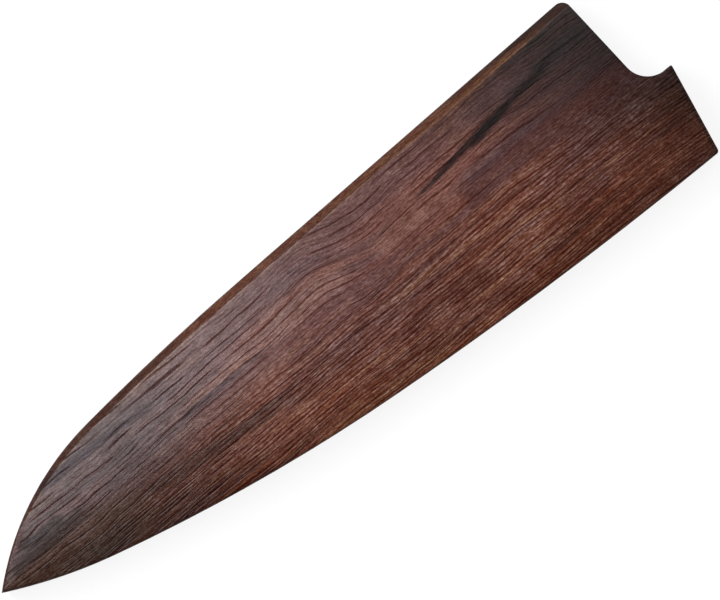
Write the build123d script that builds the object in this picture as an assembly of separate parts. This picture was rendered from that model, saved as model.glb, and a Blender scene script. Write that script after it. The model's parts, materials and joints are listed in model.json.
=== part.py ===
from build123d import *
from math import exp, sqrt
import os

# A wooden sheath for a chef's knife, lying flat on its back face.
# It is glued up from two outer panels with two thin strips between them.
# The strips leave a slot for the blade, which opens at the stepped mouth.
# Disc magnets sit in blind pockets in both panels, each under a thin wooden cover.
#
# The outline is drawn from the tip, at x = 0, towards the mouth, along +X.
# The straight spine side is y = 0 and the curved edge side is below it.
# Heights are drawn from the middle of the slot, then every piece is moved
# so that the origin is at the centre of the underside. All sizes are in mm.

# Overall outline
overall_length = 220.0
overall_width = 56.5
tip_depth = 20.5

# Spine side: a straight from the mouth, then two curves that fall to the tip
straight_spine = 112.0
easing_reach_share = 0.5428
easing_drop_share = 0.096

# Edge side: three curves, by their shares of the way from the heel to the tip
heel_slope_share = 0.1728
belly_reach_shares = (0.4809, 0.8672)
belly_climb_shares = (0.2084, 0.6717)

# Stepped mouth, where the edge side's point reaches past the spine side
point_reach = 9.8
heel_setback = 5.4
neck_lean = 0.9
notch_depth = 31.3
notch_radius = 7.1
spine_corner_radius = 2.6
point_radius = 0.4
heel_corner_radius = 1.0

# Layers
slot_thickness = 3.0
panel_thickness = 4.5
wall = 4.4
slot_tip_radius = 2.0

# Crowned faces, which lose their rise where the sheath narrows
rim_drop = 1.3
land_cut = 0.2
crown_ease = 10.0
crown_first = 3.0
crown_rows = 24
crown_steps = 4
crown_fit = 0.005

# Bevel along the spine side, which runs out before the tip
bevel_height = 2.05
bevel_angle = 45
bevel_easing_gap = 0.4
bevel_runout = 9.0
rim_round = 1.0

# Magnets and the covers over them
magnet_count = 3
magnet_radius = 4.0
magnet_thickness = 2.0
magnet_first = 75.0
magnet_pitch = 45.0
magnet_depth = 22.0
pocket_clearance = 0.1
cover_thickness = 0.8
cover_clearance = 0.05

# How far a cutting shape reaches past what it cuts
overrun = 6.0

half_slot = slot_thickness / 2
half_thickness = half_slot + panel_thickness
rim_height = half_thickness - rim_drop
spine_length = overall_length - point_reach
blank_end = overall_length + wall + overrun
beyond = 2 * blank_end


def joined_face(curves):
    """The flat face inside a closed ring of curves."""
    return Face(Wire.combine([curve.edge() for curve in curves])[0])


def upward(face, bottom, top):
    """A prism over a face drawn at height 0, between two heights."""
    return extrude(Pos(0, 0, bottom) * face, amount=top - bottom, dir=(0, 0, 1))


# The curves of the outline, apart from the mouth
tip = Vector(0, -tip_depth)
heel = Vector(overall_length - heel_setback, -overall_width)
straight_end = Vector(spine_length - straight_spine, 0)
easing_end = Vector(straight_end.X * (1 - easing_reach_share), tip.Y * easing_drop_share)
easing = TangentArc(straight_end, easing_end, tangent=(-1, 0))
drop = TangentArc(easing_end, tip, tangent=easing % 1)
long_curves = [drop, easing]

belly_start = heel
belly_tangent = Vector(tip.X - heel.X, heel_slope_share * (tip.Y - heel.Y))
for reach_share, climb_share in zip((*belly_reach_shares, 1), (*belly_climb_shares, 1)):
    belly_x = heel.X + reach_share * (tip.X - heel.X)
    belly_end = Vector(belly_x, heel.Y + climb_share * (tip.Y - heel.Y))
    belly = TangentArc(belly_start, belly_end, tangent=belly_tangent)
    belly_start = belly_end
    belly_tangent = belly % 1
    long_curves.append(belly)


def long_blank():
    """The outline run straight on past the mouth, before the mouth is cut."""
    fall_share = heel_slope_share * (tip.Y - heel.Y) / (tip.X - heel.X)
    run_on = Vector(blank_end, heel.Y + fall_share * (blank_end - heel.X))
    top_corner = Vector(blank_end, 0)
    lines = [Line(straight_end, top_corner), Line(top_corner, run_on), Line(run_on, heel)]
    return joined_face(lines + long_curves)


def outline():
    """The finished outline, with the notch that clears the knife's handle."""
    neck_corner = Vector(spine_length, 0)
    notch_corner = Vector(spine_length + neck_lean, -notch_depth)
    point = Vector(overall_length, -notch_depth)
    corners = [straight_end, neck_corner, notch_corner, point, heel]
    mouth = FilletPolyline(*corners, radius=[spine_corner_radius, notch_radius, point_radius])
    face = joined_face(list(mouth.edges()) + long_curves)
    heel_vertex = face.vertices().sort_by_distance(heel)[0]
    return face.fillet_2d(heel_corner_radius, [heel_vertex])


blank_face = long_blank()
outline_face = outline()


def mouth_waste():
    """What is sawn off past the mouth, as a face whose inner side is the mouth."""
    straight_x = spine_length - spine_corner_radius
    mouth = [edge for edge in outline_face.edges() if (edge @ 0.5).X > straight_x]
    ends = [point for edge in mouth for point in (edge @ 0, edge @ 1)]
    top = min(ends, key=lambda point: point.X)
    bottom = min(ends, key=lambda point: point.Y)
    far_x = blank_end + overrun
    low_y = -overall_width - overrun
    around = [top, (top.X, overrun), (far_x, overrun), (far_x, low_y), (bottom.X, low_y), bottom]
    return joined_face(mouth + list(Polyline(*around).edges()))


def rims_at(x):
    """Where a line across the blank at x meets its spine side and its edge side."""
    across = Line((x, overrun), (x, -overall_width - overrun)).edge()
    ends = [vertex.Y for vertex in blank_face.intersect(across).vertices()]
    return max(ends), min(ends)


def crown_points(x):
    """Points across the crown at x, on an arc through both rims, carried past them."""
    spine_rim, edge_rim = rims_at(max(x, crown_first))
    middle = (spine_rim + edge_rim) / 2
    half_width = (spine_rim - edge_rim) / 2
    rise = (rim_drop + land_cut) * (1 - exp(-half_width / crown_ease))
    radius = (half_width**2 + rise**2) / (2 * rise)
    crest = rim_height + rise
    reach = half_width + overrun / 4
    across = [reach * step / crown_steps for step in range(-crown_steps, crown_steps + 1)]
    return [(x, middle + y, crest - radius + sqrt(radius**2 - y**2)) for y in across]


def crown():
    """The space under one gently arched face, which follows the outline's width."""
    start = -overrun / 2
    row_gap = (blank_end - start) / crown_rows
    rows = [crown_points(start + number * row_gap) for number in range(crown_rows + 1)]
    top = Face.make_surface_from_array_of_points(rows, tol=crown_fit, min_deg=3, max_deg=5)
    return extrude(top, amount=half_thickness + overrun, dir=(0, 0, -1))


def bevel_space():
    """The space that the bevel leaves: above its foot, the spine side leans in.

    Towards the tip the foot moves out past the outline, so the bevel runs out.
    """
    foot_height = rim_height - bevel_height
    foot_easing_end = easing_end + Vector(0, bevel_easing_gap)
    runout_end = Vector(bevel_runout, rims_at(bevel_runout)[0] + bevel_height)
    first = TangentArc(straight_end, foot_easing_end, tangent=(-1, 0))
    second = TangentArc(foot_easing_end, runout_end, tangent=first % 1)
    past_tip = runout_end + (second % 1) * (bevel_runout + overrun)
    low_y = -overall_width - 2 * overrun
    far_x = blank_end + 2 * overrun
    around = [runout_end, past_tip, (past_tip.X, low_y), (far_x, low_y), (far_x, 0), straight_end]
    foot = joined_face([first, second] + list(Polyline(*around).edges()))
    above_foot = Pos(0, 0, foot_height) * foot
    sloped = extrude(above_foot, amount=half_thickness, dir=(0, 0, 1), taper=bevel_angle)
    return sloped + upward(foot, -overrun, foot_height)


def is_rim(edge):
    """Whether an edge of the half body runs along the outline, where its face starts."""
    box = edge.bounding_box()
    above_bevel = box.min.Z > rim_height - bevel_height / 2
    return above_bevel and box.max.Z < half_thickness - rim_round / 2 and box.size.X > rim_round


def half_body():
    """The half of the body above the middle of the slot, with its rims rounded."""
    shaped = (upward(blank_face, 0, half_thickness) & crown() & bevel_space()).solid()
    rounded = shaped.fillet(rim_round, [edge for edge in shaped.edges() if is_rim(edge)])
    return (rounded - upward(mouth_waste(), -overrun, blank_end)).solid()


def slot_face():
    """The blade's room: the blank less the wall all round, so it is open at the mouth."""
    room = offset(blank_face, amount=-wall)
    slot_tip = room.vertices().sort_by(Axis.X)[0]
    return fillet(slot_tip, slot_tip_radius)


# The magnets lie in a row under the thick part of the blade
magnet_places = [
    (magnet_first + number * magnet_pitch, -magnet_depth) for number in range(magnet_count)
]
pocket_radius = magnet_radius + pocket_clearance
cover_radius = pocket_radius - cover_clearance
cover_top = half_slot + cover_thickness
magnet_top = cover_top + magnet_thickness


def disc(place, radius, bottom, top):
    """An upright disc with its centre over a place in the outline."""
    round_face = Pos(*place) * Circle(radius).face()
    return upward(round_face, bottom, top).solid()


def front_panel():
    """The outer panel, with a blind pocket for each magnet bored from the slot side."""
    panel = split(half_body(), bisect_by=Plane.XY.offset(half_slot), keep=Keep.TOP)
    for place in magnet_places:
        panel -= disc(place, pocket_radius, half_slot - overrun, magnet_top)
    return panel.solid()


def strips():
    """The two strips between the panels, which meet in a mitre at the tip."""
    room = slot_face()
    ring = upward(outline_face, -half_slot, half_slot) - upward(room, -overrun, overrun)
    slot_tip = min((edge.center() for edge in room.edges()), key=lambda point: point.X)
    mitre = tip + (tip - slot_tip)
    slot_middle = (beyond, slot_tip.Y)
    around = [mitre, slot_tip, slot_middle, (beyond, beyond), (mitre.X, beyond), mitre]
    spine_part = upward(joined_face(Polyline(*around).edges()), -overrun, overrun)
    return (ring & spine_part).solid(), (ring - spine_part).solid()


def pieces():
    """Every piece of the sheath by name, still drawn from the tip and the slot."""
    spine_strip, edge_strip = strips()
    front = front_panel()
    named = {
        "front_panel": front,
        "back_panel": front.mirror(Plane.XY),
        "spine_spacer": spine_strip,
        "edge_spacer": edge_strip,
    }
    for number, place in enumerate(magnet_places, start=1):
        cover = disc(place, cover_radius, half_slot, cover_top)
        magnet = disc(place, magnet_radius, cover_top, magnet_top)
        named[f"front_magnet_{number}"] = magnet
        named[f"front_magnet_cover_{number}"] = cover
        named[f"back_magnet_{number}"] = magnet.mirror(Plane.XY)
        named[f"back_magnet_cover_{number}"] = cover.mirror(Plane.XY)
    return named


# The origin is under the middle of the sheath as it lies on its back
extent = outline_face.bounding_box()
to_origin = Pos(-extent.center().X, -extent.center().Y, half_thickness)

os.makedirs("parts", exist_ok=True)
for name, piece in pieces().items():
    export_step(to_origin * piece, f"parts/{name}.step")
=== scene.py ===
import json
from dataclasses import dataclass
from math import cos, radians, sin

import bpy
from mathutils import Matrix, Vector


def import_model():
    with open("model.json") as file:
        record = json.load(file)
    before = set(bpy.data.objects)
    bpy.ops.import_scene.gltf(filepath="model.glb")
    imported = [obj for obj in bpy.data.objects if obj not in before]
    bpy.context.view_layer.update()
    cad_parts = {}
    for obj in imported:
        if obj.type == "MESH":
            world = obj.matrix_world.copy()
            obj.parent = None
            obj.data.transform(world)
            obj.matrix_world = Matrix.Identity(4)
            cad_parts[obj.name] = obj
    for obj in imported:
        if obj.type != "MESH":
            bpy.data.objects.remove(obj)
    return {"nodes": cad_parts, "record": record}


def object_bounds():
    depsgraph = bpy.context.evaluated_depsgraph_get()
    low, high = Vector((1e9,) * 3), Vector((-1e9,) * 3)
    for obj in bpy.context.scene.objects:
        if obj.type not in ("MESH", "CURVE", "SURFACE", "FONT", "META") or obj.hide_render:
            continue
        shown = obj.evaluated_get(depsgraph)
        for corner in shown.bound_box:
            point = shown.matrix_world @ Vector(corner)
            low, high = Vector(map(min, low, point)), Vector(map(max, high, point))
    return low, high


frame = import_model()
cad_low, cad_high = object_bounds()
scene = bpy.context.scene
MM = 0.001

# A wooden sheath for a chef's knife, as the photograph shows it.
# Every CAD piece keeps its mesh and gets a procedural material.
# The wood is worked out in mm in the part's own frame. There x runs from the
# tip to the mouth, +y is the spine side, -y the edge side, and z is the height.

# The photograph, taken square on to the front face through a long lens
image_width = 720
image_height = 600
pixels_per_mm = 3.877
spine_tilt = radians(41.1)
centre_pixel = (342.0, 336.0)
lens = 250.0
sensor = 36.0
nearest = 0.05
farthest = 20.0

# Levels of the world: the walls, and the ceiling's darkest and lightest
wall_level = 0.28
ceiling_dark = 0.01
ceiling_light = 1.10

# The floor: its side in metres, its grey, and the glow that makes it look white
floor_side = 6.0
floor_grey = (0.18, 0.18, 0.18, 1)
floor_glow = 0.86
white = (1, 1, 1, 1)

# Colours of the lamps
cool_white = (0.92, 0.96, 1.0)
soft_white = (0.96, 0.98, 1.0)
plain_white = (1.0, 1.0, 1.0)

# Heights: the slot's middle, and measured from there its faces and the bevel's foot
middle_height = 6.0
half_slot = 1.5
bevel_foot = 2.65

# The grain's slant along the board, its bend towards the mouth and its tilt with height
grain_slope = 0.010
mouth_bend_start = 40.0
mouth_bend = 0.0006
ring_tilt = 0.8

# The figure near the middle, where the grain rises over a bell and then steps down
bell_place = (1.0, 16.0)
bell_radius = 10.0
bell_height = 1.3
step_height = 3.6

# How many times as far a noise is moved across the board as along it
across_offset = 1.7

# Spacing of the growth lines and of the rows of pores
line_spacing = 2.1
row_spacing = 0.95

# How far edges wander: of the lines, in parts of their spacing, and of the streaks, in mm
line_raggedness = 0.25
streak_raggedness = 3.0

# The oiled surface, and how much rougher pores and bare wood are
oiled_specular = 0.35
oiled_roughness = 0.22
pore_roughness = 0.1
bare_roughness = 0.4

# Fibres stand up and pores lie deeper by this, in mm
fibre_height = 0.006
pore_depth = 0.05

# Tints for the spine half and the edge half of the faces
mauve = (0.96, 1.00, 1.22, 1)
tawny = (1.04, 0.94, 0.78, 1)

# Tints of painted shade for the bevel and the rims and for the upright sides, and the tint for the
# glue lines
bevel_rim_shade = (0.52, 0.44, 0.36, 1)
upright_side_shade = (0.84, 0.76, 0.68, 1)
glue = (0.25, 0.22, 0.20, 1)

# The bevel's brown, and the pale colour painted as a highlight along its upper edge
bevel_brown = (0.200, 0.077, 0.048, 1)
painted_highlight = (0.300, 0.170, 0.120, 1)

# The slot's bare wood, and how far it covers the oiled wood's colour there
bare = (0.200, 0.105, 0.062, 1)
bare_share = 0.7

# Colours of the streaks and clouds, from dark to light
black = (0.006, 0.0035, 0.0035, 1)
tip_black = (0.008, 0.004, 0.003, 1)
brown_black = (0.010, 0.005, 0.004, 1)
# The painted shade on the tip's edge side of the crown
tip_shade_brown = (0.020, 0.009, 0.006, 1)
violet = (0.026, 0.015, 0.021, 1)
red_brown = (0.030, 0.010, 0.006, 1)
dim_purple = (0.048, 0.017, 0.019, 1)
umber = (0.060, 0.030, 0.020, 1)
dim_brown = (0.070, 0.022, 0.013, 1)
brown_purple = (0.085, 0.030, 0.030, 1)
# The warm painted highlight along the bevel's upper edge
warm_highlight = (0.180, 0.070, 0.030, 1)
pale = (0.190, 0.074, 0.048, 1)

# The magnets' nickel plating
nickel = (0.62, 0.61, 0.58, 1)
nickel_roughness = 0.22


class Nodes:
    """One node tree. Each method adds a node and returns what comes out of it."""

    def __init__(self, tree):
        self.tree = tree
        tree.nodes.clear()

    def add(self, kind, inputs=(), output=0, **settings):
        """Any node, with sockets or plain values as its inputs."""
        node = self.tree.nodes.new(kind)
        for key, value in settings.items():
            setattr(node, key, value)
        for key, value in dict(inputs).items():
            if isinstance(value, bpy.types.NodeSocket):
                self.tree.links.new(value, node.inputs[key])
            elif value is not None:
                node.inputs[key].default_value = value
        return node.outputs[output]

    def separate(self, vector):
        """The x, y and z of a vector."""
        node = self.tree.nodes.new("ShaderNodeSeparateXYZ")
        self.tree.links.new(vector, node.inputs[0])
        return tuple(node.outputs)

    def combine(self, x, y, z):
        """A vector or a colour from its three parts."""
        return self.add("ShaderNodeCombineXYZ", {0: x, 1: y, 2: z})

    def math(self, operation, a, b=None, c=None):
        """One step of arithmetic."""
        return self.add("ShaderNodeMath", {0: a, 1: b, 2: c}, operation=operation)

    def plus(self, total, *others):
        """The sum of all the values."""
        for other in others:
            total = self.math("ADD", total, other)
        return total

    def times(self, product, *others):
        """The product of all the values."""
        for other in others:
            product = self.math("MULTIPLY", product, other)
        return product

    def scaled(self, value, factor, offset):
        """The value times a factor, plus an offset."""
        return self.math("MULTIPLY_ADD", value, factor, offset)

    def less(self, share, loss):
        """1 where the share is 0, and less by the loss where it is 1."""
        return self.scaled(share, -loss, 1.0)

    def shift(self, noise, height):
        """Noise from 0 to 1 as a shift both ways, over that height in all."""
        return self.times(self.plus(noise, -0.5), height)

    def fade(self, value, start, end, low=0.0, high=1.0):
        """A smooth step from low at start to high at end."""
        inputs = {
            "Value": value,
            "From Min": start,
            "From Max": end,
            "To Min": low,
            "To Max": high,
        }
        return self.add("ShaderNodeMapRange", inputs, interpolation_type="SMOOTHSTEP")

    def noise(self, vector, detail=1.0):
        """Smooth noise from 0 to 1, with finer noise on it by its detail."""
        return self.add("ShaderNodeTexNoise", {"Vector": vector, "Scale": 1.0, "Detail": detail})

    def between(self, share, first, second):
        """A value between two others."""
        return self.add("ShaderNodeMix", {0: share, 2: first, 3: second})

    def blend(self, share, first, second, mode="MIX"):
        """The first colour, with the second mixed in by a share."""
        inputs = {0: share, 6: first, 7: second}
        return self.add("ShaderNodeMix", inputs, 2, data_type="RGBA", blend_type=mode)

    def tint(self, colour, by, share=1.0):
        """A colour multiplied by another, as far as the share says."""
        return self.blend(share, colour, by, "MULTIPLY")

    def shade(self, colour, level):
        """A colour multiplied by one level."""
        return self.tint(colour, self.combine(level, level, level))

    def output(self, kind, shader):
        """The tree's last node."""
        node = self.tree.nodes.new(kind)
        self.tree.links.new(shader, node.inputs["Surface"])


def camera():
    """A long lens straight above the front face, rolled so that the spine slants."""
    data = bpy.data.cameras.new("camera")
    data.lens = lens
    data.sensor_width = sensor
    data.clip_start = nearest
    data.clip_end = farthest
    distance = image_width / pixels_per_mm * MM * lens / sensor
    right = (image_width / 2 - centre_pixel[0]) / pixels_per_mm * MM
    up = (centre_pixel[1] - image_height / 2) / pixels_per_mm * MM
    across = Vector((cos(spine_tilt), -sin(spine_tilt), 0)) * right
    along = Vector((sin(spine_tilt), cos(spine_tilt), 0)) * up
    obj = bpy.data.objects.new("camera", data)
    obj.location = across + along + Vector((0, 0, cad_high.z + distance))
    obj.rotation_euler = (0, 0, -spine_tilt)
    scene.collection.objects.link(obj)
    scene.camera = obj


def lamp(name, place, size, power, colour=plain_white, aim=(0, 0, 0)):
    """A rectangular lamp that points at a place. The camera doesn't see it."""
    data = bpy.data.lights.new(name, "AREA")
    data.shape = "RECTANGLE"
    data.size, data.size_y = size
    data.energy = power
    data.color = colour
    obj = bpy.data.objects.new(name, data)
    obj.location = place
    obj.rotation_euler = (Vector(aim) - Vector(place)).to_track_quat("-Z", "Y").to_euler()
    obj.visible_camera = False
    scene.collection.objects.link(obj)


def lamps():
    """Two windows, for the sheen on the crown and the line along the bevel, and two plain lamps."""
    below_window = (-0.11, 0.18, 0)
    past_tip = (-0.165, 0, 0)
    lamp("window", (-0.11, 0.18, 0.5), (0.21, 0.34), 0.87, cool_white, aim=below_window)
    lamp("side_window", (-0.165, 0.38, 0.33), (0.39, 0.28), 1.30, soft_white, aim=past_tip)
    lamp("key_left", (-0.9, -0.3, 0.9), (0.8, 0.8), 1.7)
    lamp("key_right", (0.8, -0.5, 0.9), (0.8, 0.8), 2.6)


def world():
    """White low down, grey walls above, and a dim ceiling that is lighter on the spine side."""
    data = bpy.data.worlds.new("world")
    scene.world = data
    data.use_nodes = True
    make = Nodes(data.node_tree)
    direction = make.add("ShaderNodeTexCoord", output="Generated")
    _, to_spine, up = make.separate(direction)
    ceiling = make.fade(to_spine, -0.04, 0.24, ceiling_dark, ceiling_light)
    above = make.between(make.fade(up, 0.25, 0.75), wall_level, ceiling)
    level = make.math("MAXIMUM", above, make.fade(up, 0.22, 0.08))
    colour = make.combine(level, level, level)
    background = make.add("ShaderNodeBackground", {"Color": colour})
    make.output("ShaderNodeOutputWorld", background)


def new_material(name):
    """A procedural material and the tree for its nodes."""
    material = bpy.data.materials.new(name)
    material.use_nodes = True
    return material, Nodes(material.node_tree)


def floor():
    """A white floor, which keeps the object's shadow."""
    bpy.ops.mesh.primitive_plane_add(size=floor_side)
    obj = bpy.context.object
    obj.name = "floor"
    material, make = new_material("floor")
    paths = make.tree.nodes.new("ShaderNodeLightPath").outputs
    seen = make.math("MAXIMUM", paths["Is Camera Ray"], paths["Is Glossy Ray"])
    seen = make.math("MAXIMUM", seen, paths["Is Transmission Ray"])
    strength = make.times(seen, floor_glow)
    diffuse = make.add("ShaderNodeBsdfDiffuse", {"Color": floor_grey})
    glow = make.add("ShaderNodeEmission", {"Color": white, "Strength": strength})
    both = make.add("ShaderNodeAddShader", {0: diffuse, 1: glow})
    make.output("ShaderNodeOutputMaterial", both)
    obj.data.materials.append(material)


class Grain:
    """Where a point lies in the board: x along it, and across it as the grain runs, in mm."""

    def __init__(self, make, offset):
        self.make = make
        self.offset = offset
        place = make.add("ShaderNodeTexCoord", output="Object")
        place = make.add("ShaderNodeVectorMath", {0: place, "Scale": 1 / MM}, operation="SCALE")
        self.x, self.y, self.z = make.separate(place)

        # How far a point is from the slot's middle and from the joints, and 1 in the front half
        self.from_middle = make.math("ABSOLUTE", make.plus(self.z, -middle_height))
        self.from_joint = make.math("ABSOLUTE", make.plus(self.from_middle, -half_slot))
        self.front = make.fade(self.z, middle_height - 1, middle_height + 1)

        self.across = make.plus(self.y, self.rings(), self.slant(), self.figure(), self.waves())

        # Noises that more than one part of the wood uses
        self.fray = self.streaks(length=8, width=0.7, offset=29.0, detail=2.0)
        self.broad = self.streaks(length=70, width=6.0, offset=3.0)
        self.bands = self.streaks(length=45, width=2.4, offset=11.0)
        self.fibre = self.streaks(length=2.2, width=0.28, offset=23.0)

    def rings(self):
        """The growth rings' tilt, the same way round on both faces."""
        return self.make.scaled(self.from_middle, ring_tilt, -middle_height * ring_tilt)

    def slant(self):
        """The grain's slope against the spine, which grows near the mouth."""
        make = self.make
        past = make.math("MAXIMUM", make.plus(self.x, -mouth_bend_start), 0.0)
        return make.plus(make.times(self.x, grain_slope), make.times(past, past, mouth_bend))

    def figure(self):
        """A bell that lifts the grain lines, and a step after it that lowers them."""
        make = self.make
        from_x = make.scaled(self.x, 1 / bell_radius, -bell_place[0] / bell_radius)
        from_y = make.scaled(self.y, 1 / bell_radius, -bell_place[1] / bell_radius)
        squares = make.plus(make.times(from_x, from_x), make.times(from_y, from_y))
        bell = make.math("EXPONENT", make.times(squares, -1.0))
        step = make.times(make.fade(self.x, 3, 24), make.fade(self.y, 0, 11))
        return make.plus(make.times(bell, -bell_height), make.times(step, step_height))

    def waves(self):
        """Long and short waves of the grain. The short ones are highest on the spine half."""
        make = self.make
        long_wave = make.noise(self.cells(self.x, self.y, (45, 16, 22), 0.0))
        short_wave = make.noise(self.cells(self.x, self.y, (12, 5, 6), 7.0))
        short_height = make.fade(self.y, -3, 6, low=0.6, high=1.6)
        return make.plus(make.shift(long_wave, 3.2), make.shift(short_wave, short_height))

    def cells(self, along, across, size, offset):
        """A place for noise, whose cells have that length, width and height."""
        make = self.make
        length, width, height = size
        first = make.scaled(along, 1 / length, offset + self.offset)
        second = make.scaled(across, 1 / width, offset * across_offset)
        return make.combine(first, second, make.times(self.z, 1 / height))

    def streaks(self, length, width, offset, detail=1.0):
        """Noise in long cells that follow the grain."""
        cells = self.cells(self.x, self.across, (length, width, width), offset)
        return self.make.noise(cells, detail)

    def lines(self, spacing, wander, inner, outer):
        """1 on thin lines that follow the grain, and 0 between them."""
        make = self.make
        ragged = make.shift(self.fray, line_raggedness)
        count = make.scaled(self.across, 1 / spacing, make.plus(wander, ragged))
        return make.fade(make.math("PINGPONG", count, 0.5), inner, outer, low=1.0, high=0.0)


class Facing:
    """Which way the surface faces: how level it is, and its lean towards the spine side."""

    def __init__(self, make):
        normal = make.add("ShaderNodeNewGeometry", output="Normal")
        _, self.lean, up = make.separate(normal)
        self.level = make.math("ABSOLUTE", up)

        # 1 on all that isn't level, and 1 on all that leans to the spine side
        self.side = make.fade(self.level, 0.97, 0.80)
        self.to_spine = make.fade(self.lean, 0.02, 0.20)

        # 1 on the bevel, which is neither level nor upright
        halfway = make.times(make.fade(self.level, 0.45, 0.62), make.fade(self.level, 0.90, 0.82))
        self.bevel = make.times(halfway, self.to_spine)


@dataclass
class Colours:
    """The colours that a wood's bands are mixed from."""

    main: tuple
    purple: tuple
    light: tuple
    dark: tuple


@dataclass
class Streak:
    """A tapered streak or cloud of colour in the front panel, in mm. A dull one shines less."""

    start: tuple
    end: tuple
    start_width: float
    end_width: float
    colour: tuple
    strength: float
    ragged: float = 1.0
    dull: bool = False

    def share(self, grain):
        """How much of its colour a place takes."""
        make = grain.make
        run = Vector(self.end) - Vector(self.start)
        length = run.length
        run.normalize()
        from_x = make.plus(grain.x, -self.start[0])
        from_y = make.plus(grain.y, -self.start[1])
        along = make.plus(make.times(from_x, run.x / length), make.times(from_y, run.y / length))
        aside = make.plus(make.times(from_x, -run.y), make.times(from_y, run.x))
        aside = make.plus(aside, make.shift(grain.fray, streak_raggedness * self.ragged))
        half_width = make.fade(along, 0, 1, self.start_width / 2, self.end_width / 2)
        body = make.fade(make.math("DIVIDE", make.math("ABSOLUTE", aside), half_width), 1.5, 0.4)
        ends = make.times(make.fade(along, -0.05, 0.12), make.fade(along, 1.12, 0.85))
        return make.times(body, ends, grain.front, self.strength)


def bands(grain, colours):
    """Broad bands of the main colours, with narrower light and dark ones."""
    make = grain.make
    light_share = make.fade(grain.x, 60, 90, low=0.60, high=0.30)
    colour = make.blend(make.fade(grain.broad, 0.38, 0.62), colours.main, colours.purple)
    light = make.fade(grain.bands, 0.50, 0.70, high=light_share)
    colour = make.blend(light, colour, colours.light)
    dark = make.fade(grain.bands, 0.46, 0.28, high=0.75)
    return make.blend(dark, colour, colours.dark)


def tints(grain, colour):
    """Mauve on the spine half, partly the wood's own and partly a painted cast of sheen; tawny on
    the edge half; darker at the ends, partly the wood's own and partly painted shade; painted shade
    near the spine.
    """
    make = grain.make
    x, y = grain.x, grain.y
    spine_half = make.times(make.fade(y, 2, 9), make.fade(y, 26, 21))
    # The mauve is partly the wood's own colour and partly a painted cast of the sheen on the spine
    # half
    colour = make.tint(colour, mauve, spine_half)
    colour = make.tint(colour, tawny, make.fade(y, -1, -14))
    # Darker towards the mouth, the tip and the heel's edge side: partly the wood's own colour and
    # partly painted shade where the light falls off
    mouth = make.fade(make.plus(x, y), 57, 115, low=1.0, high=0.14)
    tip = make.fade(x, -24, -62, low=1.0, high=0.50)
    heel = make.times(make.fade(x, 82, 108), make.fade(y, -2, -14))
    # Painted shade near the spine
    spine_shade = make.fade(y, 15, 21, low=1.0, high=0.88)
    return make.shade(colour, make.times(mouth, tip, make.less(heel, 0.45), spine_shade))


def bevel_brown_and_shade(grain, facing, colour):
    """Even brown along the bevel, with painted shade at its foot and its ends."""
    make = grain.make
    # Painted shade: the bevel's brown darkens towards the tip, towards the mouth and at its foot
    towards_tip = make.fade(grain.x, -42, -22, low=0.50, high=1.0)
    towards_mouth = make.fade(grain.x, 45, 90, low=1.0, high=0.28)
    foot = make.fade(grain.from_middle, bevel_foot, bevel_foot + 0.6, low=0.72, high=1.0)
    brown = make.shade(bevel_brown, make.times(towards_tip, towards_mouth, foot))
    return make.blend(make.times(facing.bevel, 0.8), colour, brown)


def painted_edge_highlight(grain, facing, colour):
    """A pale painted highlight along the bevel's rounded upper edge, strongest between the tip and
    the middle.
    """
    make = grain.make
    # Painted highlight: pale colour on the bevel's rounded upper edge, which leans to the spine
    rounded = make.times(
        make.fade(facing.level, 0.74, 0.84), make.fade(facing.level, 0.992, 0.965)
    )
    towards_mouth = make.fade(grain.x, -10, 24, low=0.40, high=0.04)
    towards_tip = make.fade(grain.x, -60, -25, low=0.25, high=1.0)
    share = make.times(rounded, facing.to_spine, towards_mouth, towards_tip)
    return make.blend(share, colour, painted_highlight)


def growth_lines(grain, bevel):
    """Long thin dark lines, broken here and there, weaker near the mouth and on the bevel."""
    make = grain.make
    line = grain.lines(line_spacing, make.times(grain.broad, 1.8), inner=0.03, outer=0.14)
    gaps = grain.streaks(length=13, width=1.3, offset=17.0, detail=0.0)
    whole = make.fade(gaps, 0.38, 0.56)
    towards_mouth = make.fade(make.plus(grain.x, grain.y), 70, 105, low=1.0, high=0.5)
    return make.times(line, whole, towards_mouth, make.less(bevel, 0.7))


def pore_rows(grain):
    """Close dark rows of pores and light rows between them, strongest on the edge half. The light
    rows are partly the wood's lighter fibre and partly painted glints beside the pores.
    """
    make = grain.make
    wander = make.times(grain.bands, 1.2)
    row = grain.lines(row_spacing, wander, inner=0.10, outer=0.32)
    gap = grain.lines(row_spacing, make.plus(wander, 0.5), inner=0.10, outer=0.32)
    patches = grain.streaks(length=11, width=0.8, offset=31.0)
    edge_half = make.fade(grain.across, 5, -3, low=0.30, high=1.0)
    towards_mouth = make.fade(grain.x, 60, 100, low=1.0, high=0.75)
    dark = make.times(row, make.fade(patches, 0.36, 0.60), edge_half, towards_mouth)
    # The light rows are partly the wood's lighter fibre and partly painted glints beside the pores
    light = make.times(gap, make.fade(patches, 0.62, 0.42), edge_half)
    return dark, light


def fine_tone(grain, pore, light_rows):
    """How light the wood is from its fibres, specks and pores, calmer on the spine half."""
    make = grain.make
    x, y = grain.x, grain.y
    speck = make.noise(grain.cells(x, y, (0.75, 0.42, 0.42), 0.0), detail=0.0)
    slanted = make.plus(x, make.times(y, 0.35))
    cross_figure = make.noise(grain.cells(slanted, y, (6, 14, 14), 5.0))
    tone = make.times(
        make.fade(grain.fibre, 0.25, 0.75, low=0.66, high=1.36),
        make.fade(speck, 0.2, 0.8, low=0.76, high=1.26),
        make.fade(cross_figure, 0.3, 0.7, low=0.90, high=1.10),
        make.less(pore, 0.58),
        make.scaled(light_rows, 0.40, 1.0),
    )
    calm = make.fade(x, 45, 85, low=0.88, high=0.74)
    return make.math("POWER", tone, make.fade(y, 0, 8, low=1.0, high=calm))


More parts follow.
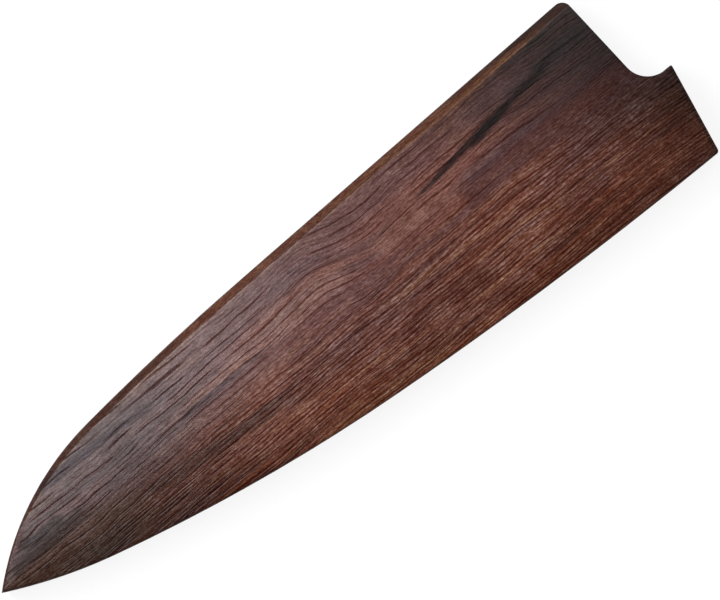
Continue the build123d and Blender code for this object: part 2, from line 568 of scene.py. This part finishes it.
def toned(grain, colour, tone):
    """The colour times the tone, more so in green and blue, so that dark places are redder."""
    make = grain.make
    green = make.math("POWER", tone, make.fade(grain.y, 8, 0, low=1.5, high=1.7))
    blue = make.math("POWER", tone, make.fade(grain.y, 8, 0, low=1.7, high=2.1))
    return make.tint(colour, make.combine(tone, green, blue))


def shade_sides_and_rim(make, facing, colour):
    """Painted shade on the bevel, the sides and the rim on the edge side."""
    # Painted shade: all that isn't level is darkened, the upright sides less than the bevel and the
    # rims
    upright = make.fade(make.math("ABSOLUTE", facing.lean), 0.74, 0.94)
    colour = make.tint(colour, make.blend(upright, bevel_rim_shade, upright_side_shade), facing.side)
    # Painted shade on the edge side's rim, which leans away from the light
    rim = make.times(make.fade(facing.lean, -0.070, -0.100), make.fade(facing.lean, -0.5, -0.2))
    return make.shade(colour, make.less(rim, 0.30))


def glue_lines(grain, facing, colour):
    """Thin dark lines on the sides, where the layers meet."""
    make = grain.make
    seam = make.times(make.fade(grain.from_joint, 0.14, 0.04), make.fade(facing.level, 0.6, 0.3))
    return make.tint(colour, glue, seam)


def inside_slot(grain, facing):
    """1 on the slot's two faces, which are level and lie at the height of the joints."""
    make = grain.make
    return make.times(make.fade(grain.from_joint, 0.02, 0.005), make.fade(facing.level, 0.9, 0.99))


def paint(grain, colour, streaks):
    """The colour with the streaks over it, and how dull they leave a place."""
    make = grain.make
    dull = 0.0
    for streak in streaks:
        share = streak.share(grain)
        colour = make.blend(share, colour, streak.colour)
        if streak.dull:
            dull = make.math("MAXIMUM", share, dull)
    return colour, dull


def shine(make, facing, pore, tone, dull):
    """The oil's shine, less in pores and dark places, on the sides and on dull streaks."""
    return make.times(
        make.scaled(pore, -0.20, oiled_specular),
        make.math("SQRT", tone),
        make.less(facing.side, 0.55),
        make.less(dull, 0.6),
    )


def relief(grain, pore):
    """Raised fibres and sunken pores, as a bump."""
    make = grain.make
    raised = make.times(grain.fibre, fibre_height)
    height = make.math("SUBTRACT", raised, make.times(pore, pore_depth))
    return make.add("ShaderNodeBump", {"Height": height, "Distance": MM, "Strength": 1.0})


def wood(name, colours, offset=0.0, streaks=()):
    """Oiled dark wood with its bands, streaks, growth lines, rows of pores and fibres."""
    material, make = new_material(name)
    grain = Grain(make, offset)
    facing = Facing(make)
    dark_rows, light_rows = pore_rows(grain)
    pore = make.math("MAXIMUM", growth_lines(grain, facing.bevel), dark_rows)
    tone = fine_tone(grain, pore, light_rows)
    inside = inside_slot(grain, facing)

    colour = tints(grain, bands(grain, colours))
    colour = bevel_brown_and_shade(grain, facing, colour)
    colour = painted_edge_highlight(grain, facing, colour)
    colour, dull = paint(grain, colour, streaks)
    colour = toned(grain, colour, tone)
    colour = shade_sides_and_rim(make, facing, colour)
    colour = glue_lines(grain, facing, colour)
    colour = make.blend(make.times(inside, bare_share), colour, bare)

    rougher = make.plus(make.times(pore, pore_roughness), make.times(inside, bare_roughness))
    surface = {
        "Base Color": colour,
        "Roughness": make.plus(rougher, oiled_roughness),
        "Specular IOR Level": shine(make, facing, pore, tone, dull),
        "Normal": relief(grain, pore),
    }
    make.output("ShaderNodeOutputMaterial", make.add("ShaderNodeBsdfPrincipled", surface))
    return material


def plating(name):
    """Smooth nickel, the same all over."""
    material, make = new_material(name)
    surface = {"Base Color": nickel, "Metallic": 1.0, "Roughness": nickel_roughness}
    make.output("ShaderNodeOutputMaterial", make.add("ShaderNodeBsdfPrincipled", surface))
    return material


# The photograph's larger streaks and clouds, each painted over those before it
panel_streaks = (
    Streak((-16, 3.4), (20, 3.0), 3.0, 4.0, brown_purple, 0.5),
    Streak((46, 7), (78, 6), 8.0, 9.0, dim_purple, 0.55),
    Streak((14, 22), (52, 22), 5.0, 7.0, brown_purple, 0.6),
    Streak((-30, 12.5), (12, 13.5), 5.0, 6.0, pale, 0.45),
    Streak((20, 10.5), (50, 10), 5.0, 6.0, pale, 0.5),
    Streak((-64, 2), (-20, -3), 4.0, 4.0, red_brown, 0.6),
    Streak((40, -14), (60, -15), 7.0, 8.0, pale, 0.35),
    Streak((-38, -9), (-18, -12), 5.0, 5.0, pale, 0.35),
    Streak((-24, -3), (4, -4), 7.0, 7.0, dim_purple, 0.30),
    Streak((52, -19), (108, -22.5), 8.0, 14.0, dim_brown, 0.45, ragged=0.5),
    Streak((64, -12), (80, -13), 6.0, 6.0, dim_purple, 0.35),
    Streak((-99, 12.8), (-85, 12.0), 4.0, 3.0, tip_black, 0.7, dull=True),
    Streak((-86, -0.5), (-75, -3), 4.0, 3.0, brown_black, 0.7),
    Streak((-87, 22.0), (-48, 19.2), 3.4, 1.2, violet, 0.65, ragged=0.5, dull=True),
    Streak((-86, 16.8), (-58, 15.4), 4.0, 4.5, violet, 0.30, ragged=0.8, dull=True),
    Streak((-46, 11.2), (-17, 10.4), 1.7, 1.2, violet, 0.6, ragged=0.5, dull=True),
    Streak((37, 14.3), (71, 16.6), 1.2, 2.9, black, 0.85, ragged=0.6, dull=True),
    Streak((58, 15.8), (87, 18.6), 2.4, 2.4, black, 0.70, ragged=0.9, dull=True),
    Streak((76, 4), (104, 2), 7.0, 8.0, dim_purple, 0.35),
    # Painted shade along the edge-side rim towards the mouth
    Streak((36, -22.6), (102, -26.2), 3.5, 5.0, dim_brown, 0.4, ragged=0.5),
    # Painted shadow lines along the mouth's two end edges
    Streak((99.6, 27), (100.6, 4), 0.9, 0.9, black, 0.5, ragged=0.1),
    Streak((109.2, -4), (104.2, -27.5), 0.9, 0.9, black, 0.5, ragged=0.1),
    Streak((68, 17.0), (99, 19.8), 2.4, 4.5, black, 0.50, ragged=1.2),
    Streak((64, 23.6), (94, 24.8), 0.8, 2.6, black, 0.5, ragged=1.2),
    Streak((60, 20.6), (82, 21.6), 5.0, 5.0, dim_purple, 0.5),
    # A warm painted highlight along the bevel's upper edge towards the mouth
    Streak((14, 26.3), (89, 26.3), 1.7, 1.5, warm_highlight, 0.75, ragged=0.15),
    Streak((-42, 24.0), (4, 25.0), 3.5, 3.0, brown_purple, 0.6),
    # Painted shade along the crown's rim beside the bevel
    Streak((-6, 25.0), (46, 25.2), 2.6, 2.6, brown_purple, 0.5, ragged=0.3),
    Streak((-116, 6), (-66, 0), 12.0, 15.0, umber, 0.75),
    # Painted shade on the crown's edge side near the tip, where the sheen doesn't fall
    Streak((-106, 9.5), (-80, 9.8), 3.5, 4.0, tip_shade_brown, 0.8, dull=True),
    Streak((-34, 21), (18, 21), 6.0, 7.0, brown_purple, 0.55),
)

panel_colours = Colours(
    main=(0.150, 0.047, 0.028, 1),
    purple=(0.115, 0.043, 0.034, 1),
    light=(0.205, 0.088, 0.050, 1),
    dark=(0.082, 0.026, 0.017, 1),
)
spacer_colours = Colours(
    main=(0.125, 0.050, 0.034, 1),
    purple=(0.100, 0.046, 0.038, 1),
    light=(0.190, 0.085, 0.058, 1),
    dark=(0.055, 0.023, 0.017, 1),
)

camera()
world()
floor()
lamps()

# The magnets' covers are cut from the panels' wood
panel_wood = wood("panel_wood", panel_colours, streaks=panel_streaks)
looks = {
    "panel_wood": panel_wood,
    "spacer_wood": wood("spacer_wood", spacer_colours, offset=13.0),
    "cover_wood": panel_wood,
    "magnet_plating": plating("magnet_plating"),
}
slots = {part["node"]: part["material_slot"] for part in frame["record"]["subparts"]}
for name, node in frame["nodes"].items():
    node.data.materials.clear()
    node.data.materials.append(looks[slots[name]])

scene.view_settings.view_transform = "Standard"
